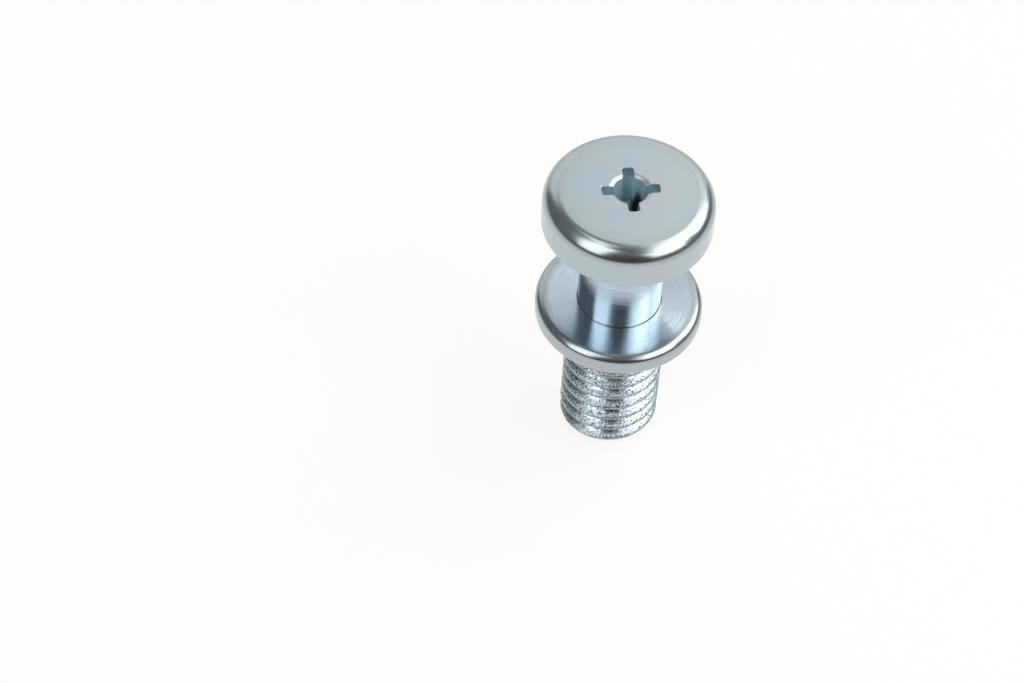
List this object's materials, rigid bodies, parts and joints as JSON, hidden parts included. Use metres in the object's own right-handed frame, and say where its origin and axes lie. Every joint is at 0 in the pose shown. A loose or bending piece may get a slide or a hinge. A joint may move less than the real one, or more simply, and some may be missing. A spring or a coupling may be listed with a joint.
{
  "type": "refrigerator handle screw",
  "caption": "Shoulder screw that holds an appliance handle: cross-recess head with a cone under it, slim neck, round collar and an M6 threaded end.",
  "frame": {"origin": "middle of the flat end of the thread, at the foot of the standing screw", "axes": "+Z along the screw's axis from the thread's end to the head; +X and +Y are fixed by the turn of the recess and the thread"},
  "size_m": [0.01, 0.01, 0.02],
  "materials": {
    "zinc_plate": "bright blue-white zinc plate over steel, satin on the flat faces"
  },
  "bodies": {
    "root": {"handle_screw": "zinc_plate"}
  },
  "joints": []
}
